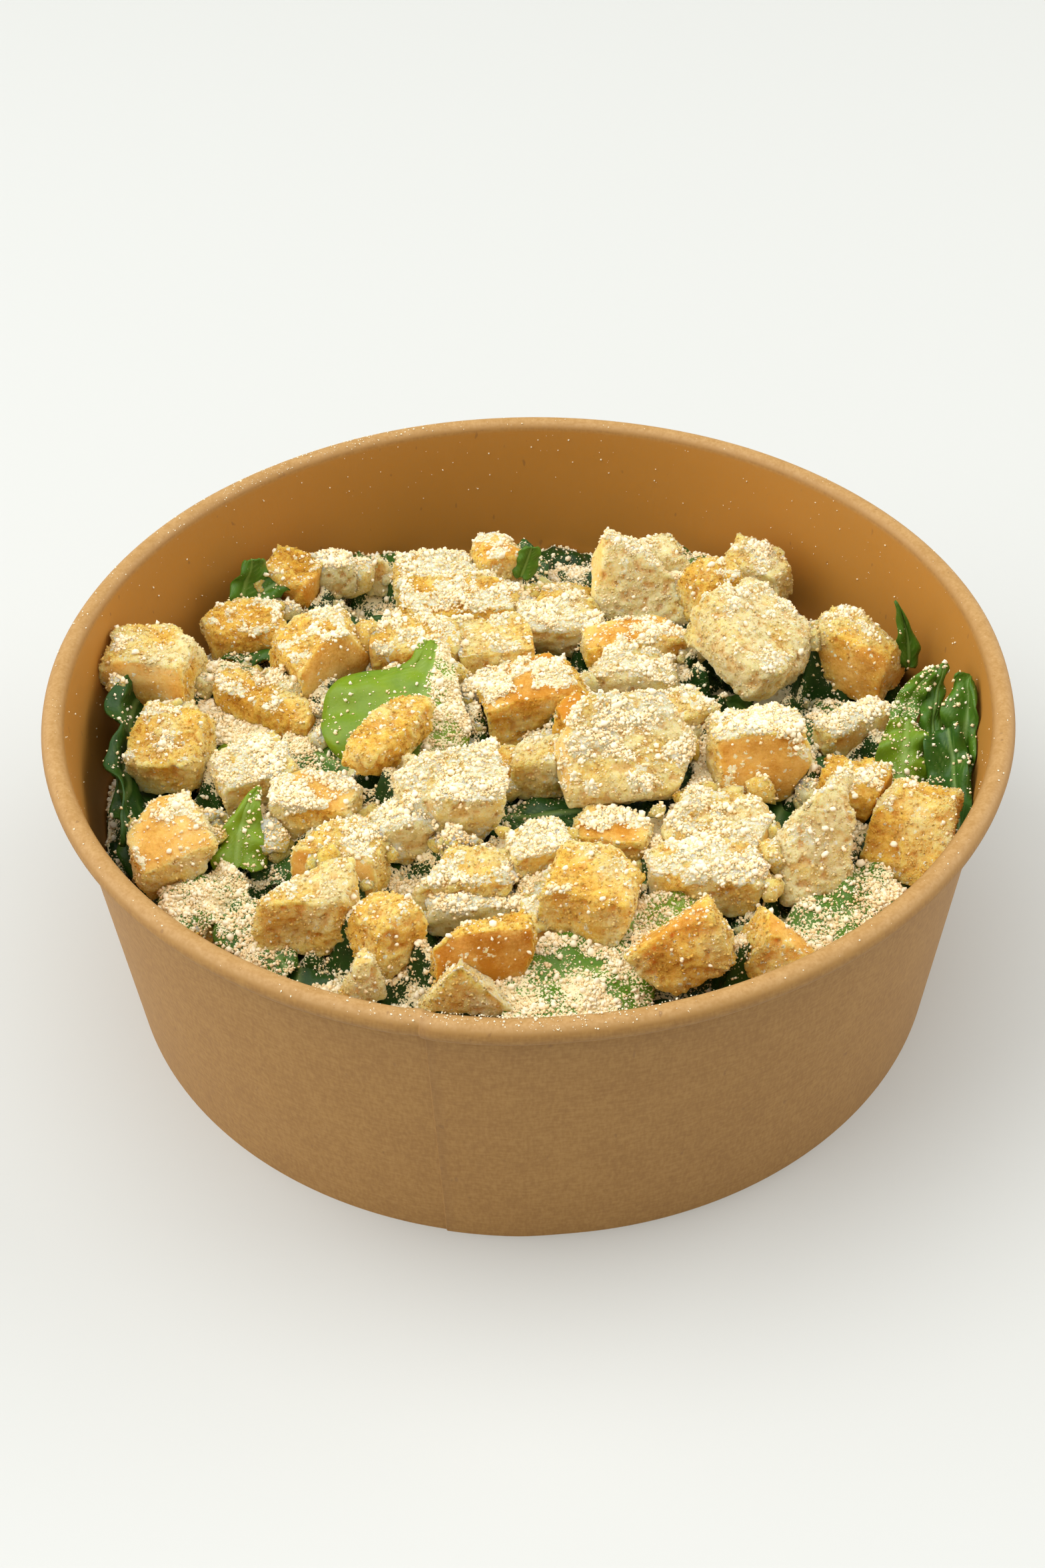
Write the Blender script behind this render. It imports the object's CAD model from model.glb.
"""The looks of a caesar salad in its kraft paper bowl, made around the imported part."""
import math

import bmesh
import bpy
import numpy as np
from mathutils import Matrix, Vector
from mathutils.bvhtree import BVHTree


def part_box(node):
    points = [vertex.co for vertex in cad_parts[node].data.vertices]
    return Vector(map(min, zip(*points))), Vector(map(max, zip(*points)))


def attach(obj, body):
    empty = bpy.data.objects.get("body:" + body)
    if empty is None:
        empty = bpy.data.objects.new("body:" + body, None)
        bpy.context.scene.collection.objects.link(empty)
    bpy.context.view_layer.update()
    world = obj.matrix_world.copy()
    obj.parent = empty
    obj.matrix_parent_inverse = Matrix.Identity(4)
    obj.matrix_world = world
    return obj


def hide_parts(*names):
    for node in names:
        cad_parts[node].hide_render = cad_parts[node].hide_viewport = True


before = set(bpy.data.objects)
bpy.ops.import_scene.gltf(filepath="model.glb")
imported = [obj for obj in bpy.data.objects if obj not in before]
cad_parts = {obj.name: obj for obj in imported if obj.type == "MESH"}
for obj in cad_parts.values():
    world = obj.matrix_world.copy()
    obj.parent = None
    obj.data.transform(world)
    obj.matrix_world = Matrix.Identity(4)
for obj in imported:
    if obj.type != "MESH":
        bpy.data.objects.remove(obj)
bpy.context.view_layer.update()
MM = 0.001


# ---- Table, light and camera ----
# A plain pale table, lit by a wide soft lamp above and behind the bowl's left side and by a pale room.
# The camera looks down on the salad from the front, at about 41 degrees.
TABLE_SIZE = 6.0
ROOM_COLOUR = (1.0, 0.985, 0.95)
ROOM_STRENGTH = 0.52

# Each lamp: place in metres, size in metres and power in watts.
LAMPS = [("lamp_above", (-0.25, -0.15, 1.6), 2.0, 17.0), ("lamp_left", (-1.6, 0.0, 1.2), 2.6, 33.0),
         ("lamp_right", (1.7, 0.5, 1.1), 1.8, 21.0)]
CAMERA_PLACE = Vector((0, -320.22, 319.91)) * MM
CAMERA_DOWN = math.radians(41.482)
CAMERA_TURN = math.radians(0.231)
CAMERA_ROLL = math.radians(-1.229)
CAMERA_LENS = 48.89


class Wire:
    """One output socket in a material, so that shader maths reads as plain maths."""

    def __init__(self, finish, socket):
        self.finish = finish
        self.socket = socket

    def maths(self, operation, first, second):
        return self.finish.node("ShaderNodeMath", {"operation": operation}, {0: first, 1: second})

    def __add__(self, other):
        return self.maths("ADD", self, other)

    def __radd__(self, other):
        return self.maths("ADD", other, self)

    def __sub__(self, other):
        return self.maths("SUBTRACT", self, other)

    def __rsub__(self, other):
        return self.maths("SUBTRACT", other, self)

    def __mul__(self, other):
        return self.maths("MULTIPLY", self, other)

    def __rmul__(self, other):
        return self.maths("MULTIPLY", other, self)


class Finish:
    """A material and its Principled shader."""

    def __init__(self, name, colour, roughness, **constants):
        self.material = bpy.data.materials.new(name)
        self.material.use_nodes = True
        self.tree = self.material.node_tree
        self.shader = self.tree.nodes["Principled BSDF"]
        self.material.diffuse_color = (*colour, 1)
        self.shader.inputs["Base Color"].default_value = (*colour, 1)
        self.shader.inputs["Roughness"].default_value = roughness
        for socket, value in constants.items():
            self.shader.inputs[socket.replace("_", " ")].default_value = value

    def put(self, socket, value):
        """Link or set one input."""
        if isinstance(value, Wire):
            self.tree.links.new(value.socket, socket)
        elif isinstance(value, tuple) and len(value) == 3 and len(socket.default_value) == 4:
            socket.default_value = (*value, 1)
        else:
            socket.default_value = value

    def node(self, kind, settings=None, inputs=None, out=0):
        """Any node: its settings are made first, then its inputs, and one output is returned."""
        made = self.tree.nodes.new(kind)
        for setting, value in (settings or {}).items():
            if setting == "stops":
                while len(made.color_ramp.elements) < len(value):
                    made.color_ramp.elements.new(0.5)
                for element, (place, colour) in zip(made.color_ramp.elements, value):
                    element.position = place
                    element.color = (*colour, 1)
            else:
                setattr(made, setting, value)
        for socket, value in (inputs or {}).items():
            self.put(made.inputs[socket], value)
        return Wire(self, made.outputs[out])

    def place(self):
        """Object coordinates, in metres."""
        return self.node("ShaderNodeTexCoord", out="Object")

    def noise(self, size, detail=2.0, stretch=None, roughness=0.5):
        """Smooth noise from 0 to 1, with spots of the given size in metres."""
        place = self.place()
        if stretch is not None:
            place = self.node("ShaderNodeMapping", None, {"Vector": place, "Scale": stretch})
        return self.node("ShaderNodeTexNoise", None, {
            "Vector": place, "Scale": 1 / size, "Detail": detail, "Roughness": roughness})

    def painted(self, name):
        """A number that the mesh carries at each of its points."""
        return self.node("ShaderNodeAttribute", {"attribute_name": name}, out="Fac")

    def ramp(self, value, stops):
        return self.node("ShaderNodeValToRGB", {"stops": stops}, {0: value}, out="Color")

    def between(self, value, low, high):
        """0 below low, 1 above high, and a smooth step between them."""
        return self.node("ShaderNodeMapRange", {"interpolation_type": "SMOOTHSTEP"},
                         {0: value, 1: low, 2: high})

    def mix(self, share, first, second):
        """A colour that goes from the first to the second as share goes from 0 to 1."""
        return self.node("ShaderNodeMix", {"data_type": "RGBA"}, {0: share, 6: first, 7: second}, out=2)

    def bump(self, height, distance, strength=1.0):
        """Fine relief of the given depth in metres."""
        made = self.node("ShaderNodeBump", None, {
            "Height": height, "Distance": distance, "Strength": strength})
        self.put(self.shader.inputs["Normal"], made)

    def paint(self, colour):
        self.put(self.shader.inputs["Base Color"], colour)


def bare():
    """Nothing selected and no mesh open, so that the next operator acts only on what it adds."""
    if bpy.context.object and bpy.context.object.mode != "OBJECT":
        bpy.ops.object.mode_set(mode="OBJECT")
    bpy.ops.object.select_all(action="DESELECT")


bare()
bpy.ops.mesh.primitive_plane_add(size=TABLE_SIZE, location=(0, 0, 0))
table = bpy.context.object
table.name = "table"
bpy.ops.object.mode_set(mode="EDIT")
bpy.ops.mesh.subdivide(number_cuts=7)
bpy.ops.object.mode_set(mode="OBJECT")
table.data.materials.append(Finish("pale_table", (0.60, 0.612, 0.59), 0.6).material)

room = bpy.data.worlds.new("pale_room")
room.use_nodes = True
room.node_tree.nodes["Background"].inputs["Color"].default_value = (*ROOM_COLOUR, 1)
room.node_tree.nodes["Background"].inputs["Strength"].default_value = ROOM_STRENGTH
bpy.context.scene.world = room

for name, place, size, power in LAMPS:
    bpy.ops.object.light_add(type="AREA", location=place)
    lamp = bpy.context.object
    lamp.name = name
    lamp.data.shape = "DISK"
    lamp.data.size = size
    lamp.data.energy = power
    lamp.rotation_euler = (-Vector(place)).to_track_quat("-Z", "Y").to_euler()

bpy.ops.object.camera_add(location=CAMERA_PLACE)
camera = bpy.context.object
tilt = Matrix.Rotation(math.pi / 2 - CAMERA_DOWN, 3, "X")
aim = Matrix.Rotation(CAMERA_TURN, 3, "Z") @ tilt @ Matrix.Rotation(CAMERA_ROLL, 3, "Z")
camera.rotation_euler = aim.to_euler()
camera.data.lens = CAMERA_LENS
camera.data.sensor_width = 36
camera.data.clip_start = 0.01
bpy.context.scene.camera = camera
bpy.context.scene.view_settings.view_transform = "Standard"


# ---- Bowl ----
# A stock bowl of kraft board: a blank rolled into a cone whose ends lap at the front left, a floor disc
# set up inside it, and the top edge rolled outwards into a bead. It is drawn up ring by ring.
bowl_low, bowl_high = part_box("bowl")
RIM_RADIUS = bowl_high.x
BOWL_HEIGHT = bowl_high.z
BASE_RADIUS = 83.0 * MM
BEAD_RADIUS = 2.2 * MM
BOARD = 0.5 * MM
HEM_WIDTH = 1.5 * MM
FLOOR_RECESS = 6.0 * MM
BEAD_END = math.radians(-128)
BOWL_SEGMENTS = 288
WALL_RINGS = 12
BEAD_RINGS = 14
SEAM_ANGLE = math.radians(-101.5)
SEAM_STEP = 0.35 * MM
SEAM_FADE = math.radians(16)
SEAM_GAP = math.radians(0.1)
SEAM_NOTCH = 0.5 * MM
RIM_WAVE = 0.12 * MM
KRAFT = (0.340, 0.168, 0.035)
KRAFT_LIGHT = (0.390, 0.204, 0.049)
KRAFT_DARK = (0.292, 0.136, 0.026)
KRAFT_EDGE = (0.50, 0.295, 0.105)
KRAFT_FLECK = (0.20, 0.09, 0.025)
COATED = (0.46, 0.197, 0.021)

LATTICE = np.random.default_rng(7).random((32, 32, 32)) * 2 - 1


def mottle(points, size, shift=0.0):
    """Smooth random values from -1 to 1 at points, with spots of the given size."""
    spot = np.asarray(points) / size + shift
    cell = np.floor(spot).astype(int)
    part = spot - cell
    part = part * part * (3 - 2 * part)
    total = np.zeros(len(spot))
    for corner in np.ndindex(2, 2, 2):
        weight = np.prod(np.where(corner, part, 1 - part), axis=1)
        column, row, layer = ((cell + corner) % 32).T
        total += weight * LATTICE[column, row, layer]
    return total * 1.6


def smooth_step(values, low, high):
    """0 below low, 1 above high, and a smooth step between them."""
    share = np.clip((values - low) / (high - low), 0, 1)
    return share * share * (3 - 2 * share)


def points_of(piece):
    """The mesh's points as rows of x, y and z."""
    points = np.empty(len(piece.data.vertices) * 3)
    piece.data.vertices.foreach_get("co", points)
    return points.reshape(-1, 3)


def normals_of(piece):
    """The mesh's directions outwards at its points."""
    normals = np.empty(len(piece.data.vertices) * 3)
    piece.data.vertex_normals.foreach_get("vector", normals)
    return normals.reshape(-1, 3)


def move_points(piece, points):
    """Put the mesh's points in new places."""
    piece.data.vertices.foreach_set("co", points.ravel())
    piece.data.update()


def record_values(piece, name, values):
    """Keep a number for each point of the mesh, for its material to read."""
    layer = piece.data.attributes.new(name, "FLOAT", "POINT")
    layer.data.foreach_set("value", np.asarray(values, dtype=np.float32))


def inner_radius(height):
    """Radius of the bowl's inner wall at a height."""
    slope = (RIM_RADIUS - 2 * BEAD_RADIUS - (BASE_RADIUS - BOARD)) / (BOWL_HEIGHT - BEAD_RADIUS)
    return BASE_RADIUS - BOARD + slope * height


def bowl_rings():
    """Radius and height of each ring, from the inner floor over the bead and down to the base."""
    floor = FLOOR_RECESS + BOARD
    bead_x = RIM_RADIUS - BEAD_RADIUS
    bead_z = BOWL_HEIGHT - BEAD_RADIUS
    rings = [(inner_radius(floor) - 1.2 * MM, floor), (inner_radius(floor + MM), floor + MM)]
    for step in range(1, WALL_RINGS):
        height = floor + (bead_z - floor) * step / WALL_RINGS
        rings.append((inner_radius(height), height))
    for step in range(BEAD_RINGS + 1):
        angle = math.pi + (BEAD_END - math.pi) * step / BEAD_RINGS
        rings.append((bead_x + BEAD_RADIUS * math.cos(angle), bead_z + BEAD_RADIUS * math.sin(angle)))
    tuck_radius, tuck_height = bead_x - BEAD_RADIUS + 1.0 * MM, bead_z - BEAD_RADIUS * 0.95
    for step in range(WALL_RINGS + 1):
        share = step / WALL_RINGS
        height = tuck_height * (1 - share)
        rings.append((tuck_radius + (BASE_RADIUS - tuck_radius) * share, height))
    hem = BASE_RADIUS - HEM_WIDTH
    return rings + [(hem, 0), (hem, FLOOR_RECESS)]


bare()
rings = bowl_rings()
bpy.ops.mesh.primitive_circle_add(vertices=BOWL_SEGMENTS, radius=rings[0][0], location=(0, 0, rings[0][1]))
bowl = bpy.context.object
bowl.name = "kraft_bowl"
bpy.ops.object.transform_apply(location=True)
bpy.ops.object.mode_set(mode="EDIT")
bpy.ops.mesh.select_all(action="SELECT")
bpy.ops.mesh.edge_face_add()
bpy.ops.mesh.select_mode(type="EDGE")
for (radius, height), (next_radius, next_height) in zip(rings, rings[1:]):
    bpy.ops.mesh.extrude_edges_move(TRANSFORM_OT_translate={"value": (0, 0, next_height - height)})
    growth = next_radius / radius
    bpy.ops.transform.resize(value=(growth, growth, 1), center_override=(0, 0, next_height))
bpy.ops.mesh.edge_face_add()
bpy.ops.mesh.select_all(action="SELECT")
bpy.ops.mesh.normals_make_consistent(inside=False)
bpy.ops.object.mode_set(mode="OBJECT")

points = points_of(bowl)
angles = np.arctan2(points[:, 1], points[:, 0])
radii = np.hypot(points[:, 0], points[:, 1])
past = (angles - SEAM_ANGLE + math.pi) % (2 * math.pi) - math.pi
segment = 2 * math.pi / BOWL_SEGMENTS
near = np.abs(past) < segment
angles = np.where(near, SEAM_ANGLE + np.sign(past) * SEAM_GAP, angles)
outside = radii > inner_radius(points[:, 2]) + 0.3 * MM
lap = np.where(past > 0, 1 - smooth_step(past, SEAM_FADE / 2, SEAM_FADE), 0)
radii += np.where(outside, lap * SEAM_STEP, 0)
rim = smooth_step(points[:, 2], BOWL_HEIGHT - 8 * MM, BOWL_HEIGHT)
turn_points = np.column_stack([np.cos(angles), np.sin(angles), np.zeros(len(angles))])
radii += rim * RIM_WAVE * mottle(turn_points, 0.35, 3.1)
radii -= np.where(near & outside, rim * SEAM_NOTCH, 0)
points[:, 0], points[:, 1] = radii * np.cos(angles), radii * np.sin(angles)
points[:, 2] += rim * RIM_WAVE * mottle(turn_points, 0.5, 9.7)
move_points(bowl, points)
rim_inside = smooth_step(points[:, 2], BOWL_HEIGHT - 2.4 * MM, BOWL_HEIGHT - 1.2 * MM)
record_values(bowl, "inside", np.where(outside, 0, 1 - rim_inside))
record_values(bowl, "edge", smooth_step(points[:, 2], BOWL_HEIGHT - 1.5 * MM, BOWL_HEIGHT - 0.2 * MM))
record_values(bowl, "seam", np.where(outside & (np.abs(past) < 0.6 * segment), 1.0, 0.0))
bpy.ops.object.shade_smooth_by_angle(angle=math.radians(40))

kraft = Finish("kraft_paper", KRAFT, 0.62)
clouds = kraft.noise(9 * MM, 3)
fibres = kraft.noise(0.55 * MM, 3, stretch=(1, 1, 0.35))
threads = kraft.noise(0.8 * MM, 4, stretch=(0.45, 0.45, 1.6))
flecks = kraft.noise(1.6 * MM, 1, stretch=(1, 1, 0.5))
tone = kraft.between(clouds * 0.15 + fibres * 0.5 + threads * 0.45, 0.35, 0.75)
plain_colour = kraft.ramp(tone, [(0.0, KRAFT_DARK), (0.5, KRAFT), (1.0, KRAFT_LIGHT)])
coat_colour = kraft.mix(tone * 0.25, COATED, KRAFT_LIGHT)
board_colour = kraft.mix(kraft.painted("inside"), plain_colour, coat_colour)
board_colour = kraft.mix(kraft.painted("edge"), board_colour, kraft.mix(tone, KRAFT_EDGE, KRAFT_LIGHT))
board_colour = kraft.mix(kraft.painted("seam") * 0.25, board_colour, KRAFT_FLECK)
kraft.paint(kraft.mix(kraft.between(flecks, 0.74, 0.80) * 0.45, board_colour, KRAFT_FLECK))
kraft.bump(fibres * 0.6 + threads * 0.4, 0.05 * MM, 0.5)
bowl.data.materials.append(kraft.material)
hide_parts("bowl")
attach(bowl, "root")


# ---- Romaine leaves ----
# Cut and torn pieces of romaine, thin curved sheets with a rib down the middle. Each is a grid laid
# along its rib, with its two halves falling away from it, then given its thickness.
LEAF_LENGTH_CUTS = 34
LEAF_WIDTH_CUTS = 28
LEAF_THICKNESS = 0.35 * MM
RIB_HEIGHT = 0.5 * MM
FILLER_LEAVES = 30

# Each leaf: three points on its rib in mm, the left and right margins' offsets from the rib in mm,
# how much each half narrows to the tip, ruffle in mm, brightness and powder from 0 to 1.
LEAVES = [
    ("fold", [(-20.5, -8, 47), (-19.5, 5, 53.5), (-17.5, 18.5, 58.5)], (-18.5, 5.5, -1), (10.5, 2, -3.5),
     (0.0, 0.80), 0.9, 0.80, (0.15, 0.72)),
    ("wall_right", [(73.5, 1, 48), (76, 4, 55), (80, 5, 60.5)], (-3, 2, 1), (3, -2, -1), (0.6, 0.6),
     1.6, 0.60, 0.35),
    ("wall_right_outer", [(83, -13, 44), (85, -5, 52), (86, 3, 60.5)], (-5, 2, 0), (1.5, -6, -1), (0.1, 0.1),
     2.2, 0.50, 0.2),
    ("wall_right_bright", [(71, -15, 45), (73, -7, 50), (74, -1, 53)], (-6, 0, -1), (5, -1, -1), (0.2, 0.2),
     2.2, 0.74, 0.3),
    ("wall_right_low", [(81, -28, 43), (82, -16, 47), (82, -4, 52)], (-6, 1, 1), (2.5, -1, 3), (0.1, 0.1),
     1.8, 0.35, 0.15),
    ("wall_right_back", [(79, -4, 48), (80, 3, 54), (82, 8, 59)], (-3, 1, 0), (2.5, 3, 0), (0.2, 0.2),
     1.2, 0.5, 0.2),
    ("tip_right", [(78, 23, 47), (77.5, 24, 54), (74.5, 25, 62)], (-3.5, -1, 0), (3, 1, -1), (0.9, 0.9),
     0.5, 0.45, 0.25),
    ("wall_left", [(-79, 16, 49), (-79.5, -4, 47), (-75, -25, 43)], (-2, 0, 7), (3, 0, -8), (0.0, 0.0),
     1.6, 0.22, 0.12),
    ("wall_left_low", [(-80, 2, 42), (-77, -14, 41), (-70, -32, 40)], (-3, 0, 4), (8, 4, -4), (0.0, 0.0),
     1.6, 0.3, 0.15),
    ("dusted_left", [(-68, 27, 46), (-61, 16, 46), (-54, 5, 44)], (-7, -5, -1), (8, 6, 0), (0.0, 0.1),
     0.8, 0.42, 0.75),
    ("dusted_middle", [(-48, 7, 45), (-42, 1, 44.5), (-35, -4, 44)], (-3, -7, -2), (4, 7, 1), (0.0, 0.1),
     0.8, 0.4, 0.55),
    ("scrap_left", [(-62, 3, 44), (-59.5, 0, 46), (-57.5, -3, 45)], (-2.5, -2, -1), (3, 2, 0), (0.3, 0.3),
     0.3, 0.8, 0.2),
    ("tip_left", [(-55, -32, 45), (-54, -25, 50), (-51, -18.5, 54.5)], (-7, -1, -2), (6, -1, -2), (0.95, 0.9),
     1.2, 0.80, (0.25, 0.4)),
    ("under_powder", [(-69, -38, 44), (-61, -37, 45), (-52, -38, 45)], (-2, 8, 0), (1, -9, -2), (0.0, 0.2),
     2.6, 0.5, 0.62),
    ("front_left", [(-56, -44, 45), (-50, -50, 45), (-43, -57, 43)], (-4, -4, -2), (4, 4, 1), (0.1, 0.2),
     0.8, 0.4, 0.6),
    ("front_middle", [(-6, -68, 46), (8, -63, 47), (21, -61, 46)], (-2, 9, 2), (1, -10, -2), (0.0, 0.0),
     0.8, 0.6, 0.62),
    ("strip", [(15, -55, 48), (25, -49, 49), (37, -40, 52)], (-3, 4, 1), (3, -3, -2), (0.3, 0.3),
     0.5, 0.82, 0.55),
    ("front_right", [(46, -56, 45), (57, -49, 46.5), (67, -40, 46)], (-4, 6, 1), (3, -6, -2), (0.0, 0.0),
     1.6, 0.50, 0.60),
    ("dark_right", [(63, -44, 42), (70, -37, 44), (75, -28, 43)], (-4, 4, 0), (3, -3, -1), (0.0, 0.1),
     1.0, 0.12, 0.05),
    ("back_left", [(-62, 47, 45), (-60, 51, 51), (-58.5, 52, 57)], (-4, -3, -1), (5, 3, -2), (0.5, 0.3),
     0.6, 0.5, 0.05),
    ("back_left_low", [(-58, 50, 46), (-54, 52, 49), (-50, 53, 48)], (-1, 4, 2), (0, -4, -2), (0.2, 0.4),
     0.6, 0.45, 0.08),
    ("back_middle", [(-1, 58, 46), (0.5, 59, 50), (1.5, 59, 53.5)], (-3, 0, 0), (3, 0, -1), (0.3, 0.3),
     0.4, 0.5, 0.12),
    ("gap_middle", [(-8, -17, 41), (3, -16.5, 43), (14, -16, 42)], (0, 6, 0), (0, -6, -1), (0.0, 0.0),
     1.0, 0.2, 0.3),
    ("gap_right", [(60, -19, 42), (64, -26, 44), (67, -34, 42)], (-5, -2, -1), (5, 2, 1), (0.0, 0.0),
     1.2, 0.12, 0.2),
    ("gap_centre", [(26, -10, 42), (33, -7, 44), (41, -5, 43)], (0, 5, 0), (0, -5, 0), (0.0, 0.0),
     1.0, 0.12, 0.15),
    ("gap_front", [(19, -19, 42), (26, -15, 43), (32, -12, 42)], (-1, 5, 0), (1, -5, 0), (0.0, 0.0),
     1.0, 0.15, 0.3),
]


def rib_point(rib, share):
    """A point on the smooth line through the rib's three points."""
    base, middle, tip = (np.array(point) * MM for point in rib)
    pull = 2 * middle - (base + tip) / 2
    share = share[:, None]
    return (1 - share) ** 2 * base + 2 * share * (1 - share) * pull + share ** 2 * tip


def add_leaf(name, rib, left, right, narrowing, ruffle, bright, powder, seed, size=1.0, horn=0.0):
    """Lay a grid along the rib, drop its halves, ruffle its margin and give it a thickness.

    A horn is how much of the left half is missing beside the tip.
    """
    bare()
    bpy.ops.mesh.primitive_grid_add(
        x_subdivisions=round(LEAF_LENGTH_CUTS * size), y_subdivisions=round(LEAF_WIDTH_CUTS * size), size=2)
    leaf = bpy.context.object
    leaf.name = name
    flat = points_of(leaf)
    along = (flat[:, 0] + 1) / 2
    across = flat[:, 1]
    side = np.abs(across)
    wander = 0.16 * mottle(np.column_stack([along * 2.4, np.sign(across) * 3.0, across * 0]), 1.0, seed * 1.7)
    ends = np.abs(2 * along - 1) ** 4
    width = np.sqrt(np.clip(1 - 0.82 * ends, 0, 1)) + wander
    taper = np.where(across < 0, narrowing[0], narrowing[1])
    width *= 1 - taper * along
    width *= 1 - horn * (across < 0) * smooth_step(along, 0.62, 0.84)
    offset = np.where(across[:, None] < 0, np.array(left), np.array(right)) * MM
    torn = 0.03 * mottle(np.column_stack([side * 5, along * 0, along * 0]), 1.0, seed * 2.9)
    place = rib_point(rib, np.clip(along + torn * (2 * along - 1), 0, 1)) + offset * (side * width)[:, None]
    arch = 0.9 * MM * (1 - (2 * side - 1) ** 2)
    wave = ruffle * MM * side ** 2 * np.sin(along * 17 + 2.1 * seed + 1.5 * np.sign(across))
    blister = (0.25 + 0.35 * ruffle) * MM * mottle(place, 3.2 * MM, seed)
    veins = np.abs(np.sin((along * 9 - side * 3.2) * math.pi))
    vein = (1 - smooth_step(veins, 0.0, 0.35)) * smooth_step(side, 0.04, 0.15) * (1 - side * 0.7)
    midrib = 1 - smooth_step(side, 0.02, 0.14)
    base_side = np.cross(np.array(rib[2]) - np.array(rib[0]), np.array(right) - np.array(left))
    upward = base_side / np.linalg.norm(base_side)
    upward = upward if upward[2] > 0 else -upward
    lift = arch + wave + blister + RIB_HEIGHT * (0.35 * vein + midrib)
    move_points(leaf, place + lift[:, None] * upward)
    record_values(leaf, "vein", np.maximum(vein * 0.7, midrib))
    record_values(leaf, "bright", np.full(len(flat), bright))
    lie = 0.5 + 0.5 * mottle(place, 4.5 * MM, seed * 3.3) + 0.35 * mottle(place, 1.4 * MM, seed)
    powder = np.where(across < 0, *powder) if isinstance(powder, tuple) else powder
    record_values(leaf, "powder", np.clip(powder * 1.25 - 0.45 + powder * lie, 0, 1))
    if points_of(leaf).shape[0] and leaf.data.polygons[0].normal.dot(Vector(upward)) < 0:
        bpy.ops.object.mode_set(mode="EDIT")
        bpy.ops.mesh.select_all(action="SELECT")
        bpy.ops.mesh.flip_normals()
        bpy.ops.object.mode_set(mode="OBJECT")
    thick = leaf.modifiers.new("thickness", "SOLIDIFY")
    thick.thickness = LEAF_THICKNESS
    thick.offset = 0
    bpy.ops.object.modifier_apply(modifier="thickness")
    bpy.ops.object.shade_smooth()
    return leaf


def keep_in_bowl(piece, clear):
    """Draw points that pass the bowl's wall back inside it."""
    points = points_of(piece)
    radii = np.hypot(points[:, 0], points[:, 1])
    most = inner_radius(points[:, 2]) - clear
    points[:, :2] *= np.minimum(1, most / np.maximum(radii, 1e-9))[:, None]
    move_points(piece, points)


romaine = Finish("romaine", (0.10, 0.25, 0.03), 0.42, Subsurface_Weight=0.12, Subsurface_Scale=0.001,
                 Specular_IOR_Level=0.3)
romaine.shader.inputs["Subsurface Radius"].default_value = (0.5, 1.0, 0.2)
patches = romaine.noise(6 * MM, 3)
fine = romaine.noise(0.5 * MM, 2)
leaf_tone = romaine.painted("bright") + (patches - 0.5) * 0.35 + (fine - 0.5) * 0.12
leaf_green = romaine.ramp(leaf_tone, [
    (0.0, (0.008, 0.030, 0.005)), (0.3, (0.025, 0.090, 0.008)), (0.6, (0.085, 0.195, 0.008)),
    (1.0, (0.25, 0.35, 0.010))])
leaf_veined = romaine.mix(romaine.painted("vein") * 0.38, leaf_green, (0.36, 0.50, 0.14))
grit = romaine.noise(0.42 * MM, 1)
dusty = romaine.between(romaine.painted("powder") * 0.75 + (grit - 0.5) * 1.5, 0.36, 0.52)
romaine.paint(romaine.mix(dusty * 0.92, leaf_veined, (0.97, 0.86, 0.54)))
romaine.put(romaine.shader.inputs["Roughness"], 0.42 + dusty * 0.5)
romaine.bump(grit * dusty + fine * 0.4, 0.25 * MM, 0.7)

leaves = []
for seed, leaf_facts in enumerate(LEAVES):
    leaf = add_leaf("leaf_" + leaf_facts[0], *leaf_facts[1:], seed, horn=0.65 if leaf_facts[0] == "fold" else 0)
    leaves.append(leaf)
scatter = np.random.default_rng(21)
for number in range(FILLER_LEAVES):
    distance = 78 * math.sqrt((number + 0.5) / FILLER_LEAVES)
    around = number * 2.39996
    middle = np.array([distance * math.cos(around), distance * math.sin(around), scatter.uniform(39.5, 42.5)])
    heading = scatter.uniform(0, 2 * math.pi)
    half = scatter.uniform(9, 14)
    run = np.array([math.cos(heading), math.sin(heading), scatter.uniform(-0.12, 0.12)]) * half
    reach = np.array([-math.sin(heading), math.cos(heading), 0]) * scatter.uniform(6, 9)
    rib = [middle - run, middle + np.array([0, 0, scatter.uniform(0, 2)]), middle + run]
    leaf = add_leaf(f"leaf_under_{number + 1:02d}", rib, -reach - [0, 0, scatter.uniform(-1, 3)],
                    reach - [0, 0, scatter.uniform(-1, 3)], (0.1, 0.1), 1.6, scatter.uniform(0.05, 0.4),
                    scatter.uniform(0.15, 0.5), 40 + number, 0.7)
    leaves.append(leaf)
for leaf in leaves:
    keep_in_bowl(leaf, 0.3 * MM)
    leaf.data.materials.append(romaine.material)
    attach(leaf, "root")


# ---- Croutons ----
# Cut and torn cubes of white bread, toasted: pale open crumb, golden where it stands up, and orange-brown
# crust on one side of some. Each is the CAD solid, remeshed finely and roughened into crumb and crust.
VOXEL = 0.45 * MM
CORNER_CUTS = 2
TOP, FRONT, LEFT, RIGHT, BACK = (0, 0, 1), (0, -1, 0), (-1, 0, 0), (1, 0, 0), (0, 1, 0)

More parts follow.
